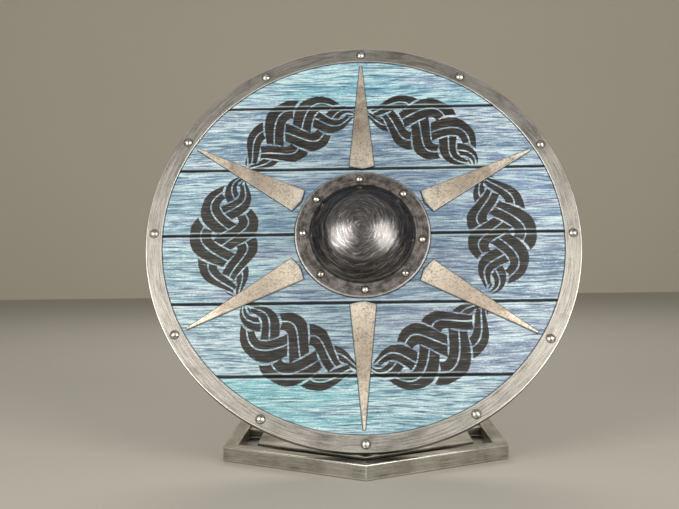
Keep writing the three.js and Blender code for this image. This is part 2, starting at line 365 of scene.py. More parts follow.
def board_ramp(g, height, colours):
    """Each board's own colour, from the bottom board up."""
    made = g.node("ShaderNodeValToRGB", None, {"Fac": height})
    ramp = made.color_ramp
    ramp.interpolation = "CONSTANT"
    while len(ramp.elements) < len(colours):
        ramp.elements.new(0.5)
    for index, (element, colour) in enumerate(zip(ramp.elements, colours)):
        element.position = index / PLANK_COUNT
        element.color = colour
    return made.outputs["Color"]


def pine(g, along, across, depth, shift):
    """The bare wood's colour and its grain, 0 to 1."""
    warped = across + (g.noise_at(along * 0.006, across * 0.02, shift) - 0.5) * 26
    rings = g.noise_at(along * 0.004, warped * 0.16, depth * 0.16 + shift, detail=2.0)
    fibre = g.noise_at(along * 0.03, across * 1.7, depth * 1.7 + shift, detail=3.0)
    grain = g.step(rings * 0.65 + fibre * 0.35, 0.40, 0.60)
    return g.mix(grain, DARK_PINE, OLD_PINE), grain, fibre


def painted_contact_shadow(g, u, v):
    """Painted shadow: 1 on the boards close beside the rim, the boss and the spikes, where their edges would
    shade the wood.
    """
    radius = g.distance(u, v)
    painted_shadow = g.largest(g.step(radius, RIM_INNER - 1.9, RIM_INNER - 0.4),
                     g.step(radius, BOSS_RADIUS + 1.9, BOSS_RADIUS + 0.4))
    taper = (SPIKE_WIDTH / 2 - SPIKE_TIP_HALF) / (SPIKE_TIP - SPIKE_ROOT)
    for angle in SPIKE_ANGLES:
        east, north = polar(1.0, angle)
        along = u * east + v * north
        across = abs(v * east - u * north)
        outside = across - (SPIKE_TIP - along) * taper - SPIKE_TIP_HALF
        root = SPIKE_ROOT - SPIKE_POINT + across * (SPIKE_POINT / (SPIKE_WIDTH / 2))
        outside = g.largest(outside, g.largest(root - along, along - SPIKE_TIP))
        painted_shadow = g.largest(painted_shadow, g.step(outside, 1.5, 0.4) * 0.9)
    return painted_shadow


def painted_shadow_round_heads(g, u, v, circle, angles, head):
    """Painted shadow: 1 in a thin ring round each rivet's head, where the head would shade the steel under
    its edge.
    """
    painted_shadow = None
    for angle in angles:
        east, north = polar(circle, angle)
        ring = g.step(g.distance(u - east, v - north), head + 1.5, head + 0.3)
        painted_shadow = ring if painted_shadow is None else g.largest(painted_shadow, ring)
    return painted_shadow


def stained_board_finish():
    g = new_material("stained planks")
    u, v, w = shield_millimetres(g)
    height = (v + SHIELD_RADIUS) / (2 * SHIELD_RADIUS)
    board = g.maths("FLOOR", (v + PLANK_COUNT / 2 * PLANK_WIDTH) / PLANK_WIDTH)
    shift = board * 37.7
    # Brush strokes run along the boards, and bend a little as the hand did.
    bend = (g.noise_at(u * 0.008, v * 0.03, shift, detail=1.0) - 0.5) * 14
    stroke = v + bend
    broad = g.noise_at(u * 0.0055, stroke * 0.09, shift, detail=3.0)
    wide = g.noise_at(u * 0.026, stroke * 0.26, shift + 3, detail=3.0, roughness=0.6)
    bristle = g.noise_at(u * 0.035, stroke * 0.60, shift + 5, detail=3.0, roughness=0.6)
    hair = g.noise_at(u * 0.06, stroke * 1.5, shift + 9, detail=2.0)
    fleck = g.noise_at(u * 0.33, v * 0.62, shift + 13, detail=2.0, roughness=0.6)
    side = g.step(u + (broad - 0.5) * 260, -110, 120)
    base = g.mix(side, board_ramp(g, height, STAIN_LEFT), board_ramp(g, height, STAIN_RIGHT))
    mauve = g.step(g.noise_at(u * 0.007, v * 0.035, shift + 21, detail=2.0), 0.5, 0.68)
    colour = g.mix(mauve * 0.5, base, MAUVE_STAIN)
    pale = g.step(broad * 0.3 + wide * 0.35 + bristle * 0.35, 0.44, 0.60)
    colour = g.mix(pale * 0.85, colour, PALE_STAIN)
    deep = g.step(bristle * 0.6 + wide * 0.25 + hair * 0.15, 0.50, 0.37)
    colour = g.mix(deep * 0.8, colour, DEEP_STAIN)
    colour = g.mix(g.step(bristle * 0.45 + fleck * 0.55, 0.53, 0.66) * 0.6, colour, WHITE_STAIN)
    colour = g.mix(g.step(fleck * 0.4 + hair * 0.6, 0.44, 0.34) * 0.6, colour, DEEP_STAIN)
    thread = g.noise_at(u * 0.014, v * 0.55, shift + 27, detail=1.0)
    colour = g.mix(g.step(thread, 0.40, 0.30) * 0.75, colour, DEEP_STAIN)
    # Painted shade: the boards darken more and more from about 230 mm in towards the boss.
    painted_shade_near_boss = g.step(g.distance(u, v) + (broad - 0.5) * 110, 230, 90)
    colour = g.mix(painted_shade_near_boss * 0.45, colour, DEEP_STAIN)
    # The painted bands, thinner where the wood's grain stands up.
    ragged = (hair - 0.5) * 1.6 + (fleck - 0.5) * 1.4
    black = plait(g, u, v, ragged)
    worn = g.step(hair * 0.5 + bristle * 0.5, 0.60, 0.70) * 0.55
    dry = g.step(bristle * 0.4 + hair * 0.6, 0.44, 0.60)
    colour = g.mix(black * (1 - worn), colour, g.mix(dry, PLAIT_BLACK, PLAIT_GREY))
    # Grooves between the boards, dark at the bottom and dusty at the shoulders, in the same black as the
    # painted shadow along the rim, the boss and the spikes.
    seam = abs(g.past_nearest(v, PLANK_WIDTH))
    edge_worn = g.step(seam + (bristle - 0.5) * 5, 5.2, 3.2) * g.step(seam, 2.4, 3.4)
    colour = g.mix(edge_worn * 0.5, colour, PALE_STAIN)
    groove_and_painted_shadow = g.step(seam + (hair - 0.5) * 1.6, 2.9, 1.6)
    # Painted shadow: dark lines on the boards along the rim, the boss and the spikes, joined to the dark
    # grooves.
    groove_and_painted_shadow = g.largest(groove_and_painted_shadow, painted_contact_shadow(g, u, v) * 0.85)
    colour = g.mix(groove_and_painted_shadow * 0.93, colour, GROOVE_AND_SHADOW_BLACK)
    bare, _, _ = pine(g, u, v, w, shift)
    front = g.step(w, -3.2, -2.2)
    colour = g.mix(front, bare, colour)
    relief = bristle * 0.5 + hair * 0.35 + fleck * 0.3 - groove_and_painted_shadow * 0.5
    roughness = 0.44 + (bristle - 0.5) * 0.25 - black * 0.06 + groove_and_painted_shadow * 0.3
    return finish_material(g, colour, roughness, relief, 0.45)


def bare_wood_finish():
    g = new_material("oiled wood")
    u, v, w = shield_millimetres(g)
    colour, grain, fibre = pine(g, v, u, w, 3.0)
    hand_worn = g.step(abs(v), 70, 20) * g.step(abs(u), 40, 20)
    colour = g.mix(hand_worn * 0.45, colour, paint(70, 48, 32))
    return finish_material(g, colour, 0.62 - hand_worn * 0.2 + fibre * 0.1, grain * 0.4 + fibre, 0.35)


def round_coordinates(g, u, v):
    """The radius, and a direction round the circle that has no seam."""
    radius = g.distance(u, v)
    return radius, u / (radius + 0.01), v / (radius + 0.01)


def rim_steel_finish():
    g = new_material("brushed rim steel")
    u, v, w = shield_millimetres(g)
    radius, east, north = round_coordinates(g, u, v)
    depth = radius + w
    brushed = g.noise_at(east * 9, north * 9, depth * 1.5, detail=3.0, roughness=0.6)
    fine = g.noise_at(east * 30, north * 30, depth * 4.5, detail=1.0)
    cloud = g.noise_at(u * 0.022, v * 0.022, w * 0.05, detail=4.0, roughness=0.6)
    ticks = g.noise_at(east * 300, north * 300, depth * 0.25, detail=1.0)
    edge = g.surface_mark("edge")
    shade = g.step(brushed * 0.8 + cloud * 0.2, 0.36, 0.62)
    colour = g.mix(shade, paint(122, 118, 112), paint(184, 180, 172))
    colour = g.mix(g.step(ticks, 0.60, 0.72) * 0.35, colour, paint(208, 204, 198))
    colour = g.mix(g.step(fine, 0.42, 0.32) * 0.4, colour, paint(84, 80, 76))
    colour = g.mix(edge * (0.35 + cloud * 0.6), colour, paint(226, 223, 216))
    stain = g.step(cloud, 0.44, 0.32)
    colour = g.mix(stain * 0.2, colour, paint(100, 92, 84))
    # Painted shadow: a dark ring round each rim rivet's head.
    painted_head_shadow = painted_shadow_round_heads(g, u, v, RIM_RIVET_RADIUS, RIM_RIVET_ANGLES, RIM_HEAD_RADIUS)
    colour = g.mix(painted_head_shadow * 0.7, colour, paint(58, 54, 50))
    # Painted shade: the rim's outer wall is darkened, as if it mirrored dark surroundings.
    outer_wall_painted_shade = g.step(radius, SHIELD_RADIUS - 1.0, SHIELD_RADIUS - 0.3)
    colour = g.mix(outer_wall_painted_shade * 0.75, colour, paint(62, 58, 54))
    # Painted highlight: a pale line along the rim's inner edge.
    colour = g.mix(g.step(radius, RIM_INNER + 2.2, RIM_INNER + 0.6) * 0.4, colour, paint(232, 228, 220))
    roughness = 0.40 + (cloud - 0.5) * 0.2 + (brushed - 0.5) * 0.2 - edge * 0.08
    relief = brushed * 0.7 + fine * 0.3 + ticks * 0.2
    return finish_material(g, colour, roughness, relief, 0.09, metallic=1.0)


def boss_steel_finish():
    g = new_material("dark boss steel")
    u, v, w = shield_millimetres(g)
    radius, east, north = round_coordinates(g, u, v)
    rings = g.noise_at(east * 3.5, north * 3.5, radius * 1.1, detail=3.0, roughness=0.6)
    # Polishing marks that wind outwards from the crown, and cross-marks from a second pass.
    angle = g.maths("ARCTAN2", v + 4, u - 3)
    wander = (g.noise_at(u * 0.03, v * 0.03, 1.0, detail=1.0) - 0.5) * 10
    spiral = radius + g.sin(angle * 2 + radius * 0.05) * 3.5 + wander
    arcs = g.noise_at(east * 1.6, north * 1.6, spiral * 0.42, detail=4.0, roughness=0.75)
    crossing = radius + g.sin(angle + 1.2) * 15 + wander
    second = g.noise_at(u * 0.045, v * 0.045, crossing * 0.55, detail=3.0, roughness=0.7)
    cloud = g.noise_at(u * 0.11, v * 0.11, w * 0.11, detail=4.0, roughness=0.62)
    edge = g.surface_mark("edge")
    flange = g.step(radius, DOME_RADIUS - 0.5, DOME_RADIUS + 0.5)
    # Painted reflection: the crown is painted lighter than the outer dome, with bright cross-marks only
    # there and a dark ring at 48.5 to 53 mm round it.
    crown = g.step(radius + (arcs - 0.5) * 6, 54, 47)
    dark = g.mix(g.step(cloud * 0.3 + rings * 0.7, 0.38, 0.62), paint(58, 56, 58), paint(98, 96, 97))
    dark = g.mix(crown * 0.55, dark, paint(134, 131, 130))
    dark = g.mix(g.step(arcs, 0.50, 0.40) * 0.4, dark, paint(52, 50, 51))
    dark = g.mix(g.step(arcs, 0.53, 0.66) * 0.5, dark, paint(176, 173, 170))
    dark = g.mix(g.step(second, 0.57, 0.68) * crown * 0.7, dark, paint(222, 218, 212))
    dark = g.mix(g.step(radius, 48.5, 50) * g.step(radius, 53, 51) * 0.4, dark, paint(40, 38, 38))
    brown = g.mix(g.step(cloud * 0.6 + rings * 0.4, 0.38, 0.62), paint(80, 75, 73), paint(140, 134, 130))
    speck = g.noise_at(east * 44, north * 44, radius * 0.3, detail=2.0)
    brown = g.mix(g.step(speck, 0.46, 0.34) * 0.45, brown, paint(64, 59, 57))
    colour = g.mix(flange, dark, brown)
    # Painted shadow: a dark ring round each boss rivet's head.
    painted_head_shadow = painted_shadow_round_heads(g, u, v, BOSS_RIVET_RADIUS, BOSS_RIVET_ANGLES, BOSS_HEAD_RADIUS)
    colour = g.mix(painted_head_shadow * 0.8, colour, paint(30, 28, 27))
    # Painted shade: a dark ring in the crease at the dome's foot.
    foot = g.step(abs(radius - DOME_RADIUS - 1.2), 1.4, 0.5)
    colour = g.mix(foot * 0.8, colour, paint(34, 32, 31))
    # Painted highlight: a pale ring just inside the dome's foot.
    lip = g.step(abs(radius - DOME_RADIUS + 1.4), 1.0, 0.3)
    colour = g.mix(lip * 0.5, colour, paint(150, 147, 145))
    colour = g.mix(edge * (0.35 + cloud * 0.7), colour, paint(214, 210, 204))
    roughness = 0.29 + (cloud - 0.5) * 0.12 + (arcs - 0.5) * 0.4 + flange * 0.13
    return finish_material(g, colour, roughness, rings * 0.4 + arcs * 0.6, 0.16, metallic=1.0)


def spike_steel_finish():
    g = new_material("ground spike steel")
    run = g.out("ShaderNodeAttribute", "Vector", {"attribute_name": "run"})
    along, across, _ = g.parts(run)
    u, v, w = shield_millimetres(g)
    brushed = g.noise_at(along * 0.05, across * 1.4, 0.0, detail=3.0, roughness=0.6)
    cloud = g.noise_at(u * 0.05, v * 0.05, 0.0, detail=5.0, roughness=0.7)
    speck = g.noise_at(u * 0.42, v * 0.42, w, detail=3.0, roughness=0.6)
    edge = g.surface_mark("edge")
    middle = g.step(abs(along - 182 + (cloud - 0.5) * 120), 85, 10)
    shade = g.step(cloud * 0.4 + speck * 0.4 + brushed * 0.2, 0.36, 0.58)
    colour = g.mix(shade, paint(192, 180, 163), paint(246, 234, 216))
    colour = g.mix(middle * 0.6, colour, paint(142, 126, 110))
    colour = g.mix(g.step(speck, 0.46, 0.32) * 0.5, colour, paint(122, 110, 98))
    colour = g.mix(edge * 0.8, colour, paint(232, 228, 220))
    roughness = 0.42 + (cloud - 0.5) * 0.4 - edge * 0.12
    return finish_material(g, colour, roughness, cloud * 0.8 + brushed * 0.2, 0.25, metallic=1.0)


def rivet_steel_finish():
    g = new_material("bright rivet steel")
    u, v, w = shield_millimetres(g)
    cloud = g.noise_at(u * 0.3, v * 0.3, w * 0.3, detail=3.0)
    scratch = g.noise_at(u * 2.6, v * 0.35, w * 2.6, detail=1.0)
    colour = g.mix(g.step(cloud, 0.36, 0.6), paint(150, 145, 136), paint(226, 222, 214))
    return finish_material(g, colour, 0.2 + cloud * 0.14, scratch + cloud, 0.08, metallic=1.0)


def stand_steel_finish(g, along, across, depth, edge=None):
    """Steel brushed along one direction, with worn edges where the piece marks them."""
    brushed = g.noise_at(along * 0.02, across * 1.3, depth * 1.3, detail=3.0, roughness=0.62)
    fine = g.noise_at(along * 0.07, across * 3.6, depth * 3.6, detail=1.0)
    cloud = g.noise_at(along * 0.02, across * 0.03, depth * 0.03, detail=4.0, roughness=0.6)
    shade = g.step(brushed * 0.55 + cloud * 0.45, 0.38, 0.62)
    colour = g.mix(shade, paint(128, 126, 116), paint(186, 182, 172))
    colour = g.mix(g.step(fine, 0.56, 0.68) * 0.4, colour, paint(214, 210, 200))
    colour = g.mix(g.step(cloud, 0.42, 0.3) * 0.4, colour, paint(92, 88, 80))
    roughness = 0.33 + (cloud - 0.5) * 0.3 + (brushed - 0.5) * 0.15
    if edge is not None:
        colour = g.mix(edge * (0.4 + cloud * 0.8), colour, paint(232, 229, 220))
        roughness = roughness - edge * 0.1
    return finish_material(g, colour, roughness, brushed * 0.7 + fine * 0.3, 0.08, metallic=1.0)


def hexagon_steel_finish():
    """Brushed along each side of the hexagon, with the ground welds showing at its corners."""
    g = new_material("brushed frame steel")
    x, y, z = object_millimetres(g)
    facing = g.maths("ROUND", g.bearing(x, y) / SECTOR) * math.radians(SECTOR)
    across = x * g.cos(facing) + y * g.sin(facing)
    along = y * g.cos(facing) - x * g.sin(facing)
    edge = g.surface_mark("edge")
    mitre = abs(abs(along) - across * math.tan(math.radians(SECTOR / 2)))
    corner = g.step(mitre, 1.6, 0.3)
    worn = g.largest(edge, corner * 0.8)
    return stand_steel_finish(g, along + facing * 90, across, z, worn)


def crosswise_steel_finish():
    g = new_material("brushed plate steel")
    x, y, z = object_millimetres(g)
    return stand_steel_finish(g, x, y, z)


def upright_steel_finish():
    g = new_material("brushed post steel")
    u, v, w = shield_millimetres(g)
    return stand_steel_finish(g, v, u, w)


# ---- Geometry tools
def new_object(name, mesh):
    piece = bpy.data.objects.new(name, mesh)
    bpy.context.scene.collection.objects.link(piece)
    return piece


def tidy_mesh(mesh, sharp_degrees=35):
    """Joins doubles, turns the faces outwards and shades the surface smooth except at sharp edges."""
    work = bmesh.new()
    work.from_mesh(mesh)
    bmesh.ops.remove_doubles(work, verts=work.verts, dist=0.00001)
    bmesh.ops.recalc_face_normals(work, faces=work.faces)
    work.to_mesh(mesh)
    work.free()
    for face in mesh.polygons:
        face.use_smooth = True
    mesh.set_sharp_from_angle(angle=math.radians(sharp_degrees))
    return mesh


def applied(piece, name):
    """The piece's mesh after its modifiers, as a plain mesh, and the piece removed."""
    depsgraph = bpy.context.evaluated_depsgraph_get()
    mesh = bpy.data.meshes.new_from_object(piece.evaluated_get(depsgraph))
    mesh.name = name
    bpy.data.objects.remove(piece)
    return mesh


def finished(name, mesh, nodes, material):
    mesh.materials.clear()
    mesh.materials.append(material)
    piece = new_object(name, mesh)
    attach(piece, "root")
    if nodes:
        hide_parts(*nodes)


def mark_points(mesh, title, amounts):
    """Stores a number for every point. The marks are all written before another kind is added."""
    mesh.attributes.new(title, "FLOAT", "POINT").data.foreach_set("value", amounts)


def swept_faces(columns, size):
    """Faces between copies of a closed section that has this many points, and one over each end."""
    faces = []
    for column in range(columns):
        for row in range(size):
            a = column * size + row
            b = column * size + (row + 1) % size
            faces.append((a, b, b + size, a + size))
    faces.append(tuple(range(size)))
    faces.append(tuple(columns * size + row for row in reversed(range(size))))
    return faces


def new_tree(name, inputs):
    """An empty Geometry Nodes tree with the given named inputs, each with its kind and value."""
    tree = bpy.data.node_groups.new(name, "GeometryNodeTree")
    tree.interface.new_socket("Geometry", in_out="INPUT", socket_type="NodeSocketGeometry")
    for title, kind, value in inputs:
        socket = tree.interface.new_socket(title, in_out="INPUT", socket_type=kind)
        if value is not None:
            socket.default_value = value
    tree.interface.new_socket("Geometry", in_out="OUTPUT", socket_type="NodeSocketGeometry")
    g = Graph(tree)
    return g, g.node("NodeGroupInput").outputs


def end_tree(g, geometry, material):
    """Makes the geometry real, gives it its material and sends it out."""
    real = g.out("GeometryNodeRealizeInstances", "Geometry", None, {"Geometry": geometry})
    done = g.out("GeometryNodeSetMaterial", "Geometry", None, {"Geometry": real, "Material": material})
    g.node("NodeGroupOutput", None, {"Geometry": done})
    return g.tree


def run_tree(name, mesh, tree, settings):
    """Runs the tree on a mesh and gives back the plain mesh that it makes."""
    piece = new_object(name, mesh)
    modifier = piece.modifiers.new(tree.name, "NODES")
    modifier.node_group = tree
    for item in tree.interface.items_tree:
        if item.in_out == "INPUT" and item.name in settings:
            modifier[item.identifier] = settings[item.name]
    return applied(piece, name)


def turning_tree():
    """Carries the piece's own profile round a circle, or a polygon when it has few corners."""
    g, given = new_tree("turn a profile", [
        ("Path Radius", "NodeSocketFloat", 0.1),
        ("Corners", "NodeSocketInt", 96),
        ("Turn", "NodeSocketFloat", 0.0),
        ("Unevenness", "NodeSocketFloat", 0.0),
        ("Wave Scale", "NodeSocketFloat", 20.0),
        ("Material", "NodeSocketMaterial", None),
    ])
    path = g.out("GeometryNodeCurvePrimitiveCircle", "Curve", {"mode": "RADIUS"}, {
        "Resolution": given["Corners"], "Radius": given["Path Radius"],
    })
    turn = g.vector(0.0, 0.0, Value(g, given["Turn"]))
    path = g.out("GeometryNodeTransform", "Geometry", None, {"Geometry": path, "Rotation": turn})
    profile = g.out("GeometryNodeMeshToCurve", "Curve", None, {"Mesh": given["Geometry"]})
    swept = g.out("GeometryNodeCurveToMesh", "Mesh", None, {"Curve": path, "Profile Curve": profile})
    joined = g.out("GeometryNodeMergeByDistance", "Geometry", None, {
        "Geometry": swept, "Distance": 0.00001,
    })
    place = g.out("GeometryNodeInputPosition", "Position")
    wave = g.noise(place, scale=Value(g, given["Wave Scale"]), detail=2.0) - 0.5
    lift = g.out("ShaderNodeVectorMath", "Vector", {"operation": "SCALE"}, {
        "Vector": g.out("GeometryNodeInputNormal", "Normal"),
        "Scale": wave * Value(g, given["Unevenness"]),
    })
    uneven = g.out("GeometryNodeSetPosition", "Geometry", None, {"Geometry": joined, "Offset": lift})
    return end_tree(g, uneven, given["Material"])


def setting_out_tree():
    """Puts a copy of one small piece on each point of the given mesh, turned by the point."""
    g, given = new_tree("set out copies", [
        ("Pattern Piece", "NodeSocketObject", None),
        ("Size Spread", "NodeSocketFloat", 0.0),
        ("Seed", "NodeSocketInt", 4),
        ("Material", "NodeSocketMaterial", None),
    ])
    points = g.out("GeometryNodeMeshToPoints", "Points", None, {"Mesh": given["Geometry"]})
    pattern = g.out("GeometryNodeObjectInfo", "Geometry", {"transform_space": "ORIGINAL"}, {
        "Object": given["Pattern Piece"],
    })
    turn = g.point_mark("turn")
    spread = Value(g, given["Size Spread"])
    size = g.value("FunctionNodeRandomValue", "Value_001", {"data_type": "FLOAT"}, {
        "Min_001": 1 - spread, "Max_001": 1.0, "Seed": given["Seed"],
    })
    copies = g.out("GeometryNodeInstanceOnPoints", "Instances", None, {
        "Points": points, "Instance": pattern,
        "Rotation": g.vector(0.0, 0.0, turn), "Scale": g.vector(size, size, 1.0),
    })
    return end_tree(g, copies, given["Material"])


def weathering_tree():
    """Raises the grain on a board's front, which its own attribute marks, and wavers its edges."""
    g, given = new_tree("raise the grain", [
        ("Grain Height", "NodeSocketFloat", 0.00018),
        ("Edge Waver", "NodeSocketFloat", 0.0006),
        ("Seed", "NodeSocketInt", 1),
        ("Material", "NodeSocketMaterial", None),
    ])
    x, y, _ = g.parts(g.out("GeometryNodeInputPosition", "Position"))
    seed = Value(g, given["Seed"]) * 11.3
    front = g.point_mark("front")
    edge = g.point_mark("edge")
    grain = g.noise_at(x * 14, y * 330, seed, detail=2.0) - 0.5
    hollow = g.noise_at(x * 9, y * 22, seed + 3, detail=1.0) - 0.5
    waver = g.noise_at(x * 28, y * 8, seed + 6, detail=2.0) - 0.5
    height = Value(g, given["Grain Height"])
    down = front * (grain + hollow * 1.2 - 0.9) * height * 1.1
    side = edge * waver * Value(g, given["Edge Waver"]) * 2
    moved = g.out("GeometryNodeSetPosition", "Geometry", None, {
        "Geometry": given["Geometry"], "Offset": g.vector(0.0, side, down),
    })
    return end_tree(g, moved, given["Material"])


def loop_mesh(name, profile, centre):
    """A closed loop of [radius, height, wear] points, laid out about the path that will carry it."""
    mesh = bpy.data.meshes.new(name)
    count = len(profile)
    edges = [(i, (i + 1) % count) for i in range(count)]
    mesh.from_pydata([((radius - centre) * MM, -height * MM, 0) for radius, height, _ in profile], edges, [])
    mark_points(mesh, "edge", [worn for _, _, worn in profile])
    return mesh


def turned_mesh(name, profile, centre, corners, material, turn=0.0, uneven_mm=0.0, waves=20.0):
    """A closed profile of [radius, height, wear] points turned about the upright axis."""
    return run_tree(name, loop_mesh(name, profile, centre), TURNING, {
        "Path Radius": centre * MM, "Corners": corners, "Turn": turn,
        "Unevenness": uneven_mm * MM, "Wave Scale": waves, "Material": material,
    })


def spot_mesh(name, spots):
    """Loose points of [x, y, z, turn in degrees], in millimetres, for a tree to put copies on."""
    mesh = bpy.data.meshes.new(name)
    mesh.from_pydata([(x * MM, y * MM, z * MM) for x, y, z, _ in spots], [], [])
    mark_points(mesh, "turn", [math.radians(degrees) for _, _, _, degrees in spots])
    return mesh


def set_out(name, pattern_mesh, spots, material, spread=0.0):
    pattern = new_object(name + " pattern", pattern_mesh)
    mesh = run_tree(name, spot_mesh(name, spots), SETTING_OUT, {
        "Pattern Piece": pattern, "Size Spread": spread, "Material": material,
    })
    bpy.data.objects.remove(pattern)
    return mesh


def rounded_profile(corners, radius, steps, fade):
    """A closed profile with every corner rounded. A corner may name its own radius and wear."""
    points = []
    count = len(corners)
    for i, corner in enumerate(corners):
        here = Vector(corner[:2])
        size = corner[2] if len(corner) > 2 else radius
        amount = corner[3] if len(corner) > 3 else 1.0
        before = (Vector(corners[i - 1][:2]) - here).normalized()
        after = (Vector(corners[(i + 1) % count][:2]) - here).normalized()
        if size <= 0:
            points.append((here.x, here.y, amount))
            continue
        half = before.angle(after) / 2
        reach = size / math.tan(half)
        start = here + before * reach
        end = here + after * reach
        middle = here + (before + after).normalized() * (size / math.sin(half))
        points.append((*(start + before * fade), 0.0))
        for step in range(steps + 1):
            share = step / steps
            direction = (start - middle).lerp(end - middle, share).normalized()
            spot = middle + direction * size
            points.append((spot.x, spot.y, amount))
        points.append((*(end + after * fade), 0.0))
    return points


def on_shield(name, mesh, nodes, material, sharp_degrees=None):
    """Lays a piece that was made in the shield's own directions in its place, then tidies it if asked."""
    mesh.transform(SHIELD_PLACE)
    if sharp_degrees is not None:
        tidy_mesh(mesh, sharp_degrees)
    finished(name, mesh, nodes, material)


def numbered(stem, count):
    return [f"{stem}-{number}" for number in range(1, count + 1)]


TURNING = turning_tree()
SETTING_OUT = setting_out_tree()
WEATHERING = weathering_tree()

stained = stained_board_finish()
bare_wood = bare_wood_finish()
rim_steel = rim_steel_finish()
boss_steel = boss_steel_finish()
spike_steel = spike_steel_finish()
rivet_steel = rivet_steel_finish()
hexagon_steel = hexagon_steel_finish()
plate_steel = crosswise_steel_finish()
post_steel = upright_steel_finish()


# ---- The boards
BOARD_COLUMNS = 250
FRONT_ROWS = 54
SHOULDER = 1.9
BACK_ROWS = 4
SIDE_ROW = -4.0
DRILLED_BOARDS = (2, 3)
HOLE_STEPS = 96
HOLE_DEPTH = 0.2


def board_section(low, high):
    """The board's section as [v, w, front, edge] points, all the way round."""
    points = []
    for i in range(BACK_ROWS + 1):
        points.append((high + (low - high) * i / BACK_ROWS, -PLANK_THICKNESS, 0.0, 0.0))
    points.append((low, SIDE_ROW, 0.0, 0.0))
    points.append((low, -SHOULDER, 0.0, 0.0))
    points.append((low + 0.75, -1.0, 0.0, 0.4))
    points.append((low + 1.5, -0.32, 0.3, 1.0))
    for i in range(FRONT_ROWS + 1):
        v = low + 2.3 + (high - low - 4.6) * i / FRONT_ROWS
        edge = 1.0 if i in (0, FRONT_ROWS) else 0.5 if i in (1, FRONT_ROWS - 1) else 0.0
        points.append((v, 0.0, 1.0, edge))
    points.append((high - 1.5, -0.32, 0.3, 1.0))
    points.append((high - 0.75, -1.0, 0.0, 0.4))
    points.append((high, -SHOULDER, 0.0, 0.0))
    points.append((high, SIDE_ROW, 0.0, 0.0))
    return points


def board_mesh(index):
    low = (index - PLANK_COUNT / 2) * PLANK_WIDTH + GAP / 2
    high = low + PLANK_WIDTH - GAP
    section = board_section(low, high)
    points = []
    front = []
    edge = []
    for column in range(BOARD_COLUMNS + 1):
        share = 2 * column / BOARD_COLUMNS - 1
        for v, w, is_front, is_edge in section:
            half = math.sqrt(max(PLANK_RADIUS ** 2 - v * v, 1.0))
            points.append((share * half * MM, v * MM, w * MM))
            front.append(is_front)
            edge.append(is_edge)
    mesh = bpy.data.meshes.new("board")
    mesh.from_pydata(points, [], swept_faces(BOARD_COLUMNS, len(section)))
    mark_points(mesh, "front", front)
    mark_points(mesh, "edge", edge)
    return mesh


def hole_cutter():
    mesh = bpy.data.meshes.new("hand hole")
    work = bmesh.new()
    bmesh.ops.create_cone(work, cap_ends=True, segments=HOLE_STEPS, radius1=HAND_HOLE_RADIUS * MM,
                          radius2=HAND_HOLE_RADIUS * MM, depth=HOLE_DEPTH)
    work.to_mesh(mesh)
    work.free()
    return new_object("hand hole", mesh)


for index in range(PLANK_COUNT):
    title = f"board-{index + 1}"
    raised = run_tree(title, board_mesh(index), WEATHERING, {"Seed": index + 1, "Material": stained})
    if index in DRILLED_BOARDS:
        tidy_mesh(raised)
        cutter = hole_cutter()
        body = new_object(title, raised)
        cut = body.modifiers.new("hand hole", "BOOLEAN")
        cut.operation = "DIFFERENCE"
        cut.object = cutter
        raised = applied(body, title)
        bpy.data.objects.remove(cutter)
    on_shield(title, tidy_mesh(raised, 40), [f"plank-{index + 1}"], stained)


# ---- The rim
RIM_PATH = 290.0
RIM_STEPS = 288
RIM_FLAT_ROWS = 8
FLAT_WIDTH = 8.0
outer = SHIELD_RADIUS - 0.12
inside = PLANK_RADIUS + GAP
rim_profile = rounded_profile([
    (RIM_INNER, GAP, 0.3, 0.5),
    (RIM_INNER, RIM_FRONT - 0.1, 0.7, 1.0),
    (outer, RIM_FRONT - 0.1, 1.3, 1.0),
    (outer, RIM_BACK + 0.1, 1.3, 1.0),
    (RIM_BACK_INNER, RIM_BACK + 0.1, 0.5, 0.7),
    (RIM_BACK_INNER, -PLANK_THICKNESS - GAP, 0.3, 0.4),
    (inside, -PLANK_THICKNESS - GAP, 0.0, 0.0),
    (inside, GAP, 0.0, 0.0),
], 0.5, steps=3, fade=0.35)


def with_rows(profile):
    """The profile with more points on its long flat sides, so that they can waver."""
    result = []
    for i, (r, z, worn) in enumerate(profile):
        result.append((r, z, worn))
        following = profile[(i + 1) % len(profile)]
        if abs(r - following[0]) > FLAT_WIDTH:
            for row in range(1, RIM_FLAT_ROWS):
                share = row / RIM_FLAT_ROWS
                result.append((r + (following[0] - r) * share, z + (following[1] - z) * share, 0.0))
    return result


rim = turned_mesh("rim", with_rows(rim_profile), RIM_PATH, RIM_STEPS, rim_steel, uneven_mm=0.16, waves=38.0)
on_shield("rim", tidy_mesh(rim, 50), ["rim"], rim_steel)


# ---- The boss
BOSS_PATH = 100.0
BOSS_STEPS = 144
DOME_STEPS = 44
HOLLOW_STEPS = 26
FLANGE_STEPS = 8
FLANGE_START = DOME_RADIUS + 1.6
FLANGE_END = BOSS_RADIUS - 3.0


def cap(foot, rise, base, steps):
    """A spherical cap from its crown to its foot, as [radius, height, wear] points, not worn."""
    sphere = (foot * foot + rise * rise) / (2 * rise)
    sweep = math.asin(foot / sphere)
    return [
        (sphere * math.sin(sweep * i / steps), base + rise - sphere * (1 - math.cos(sweep * i / steps)), 0.0)
        for i in range(steps + 1)
    ]


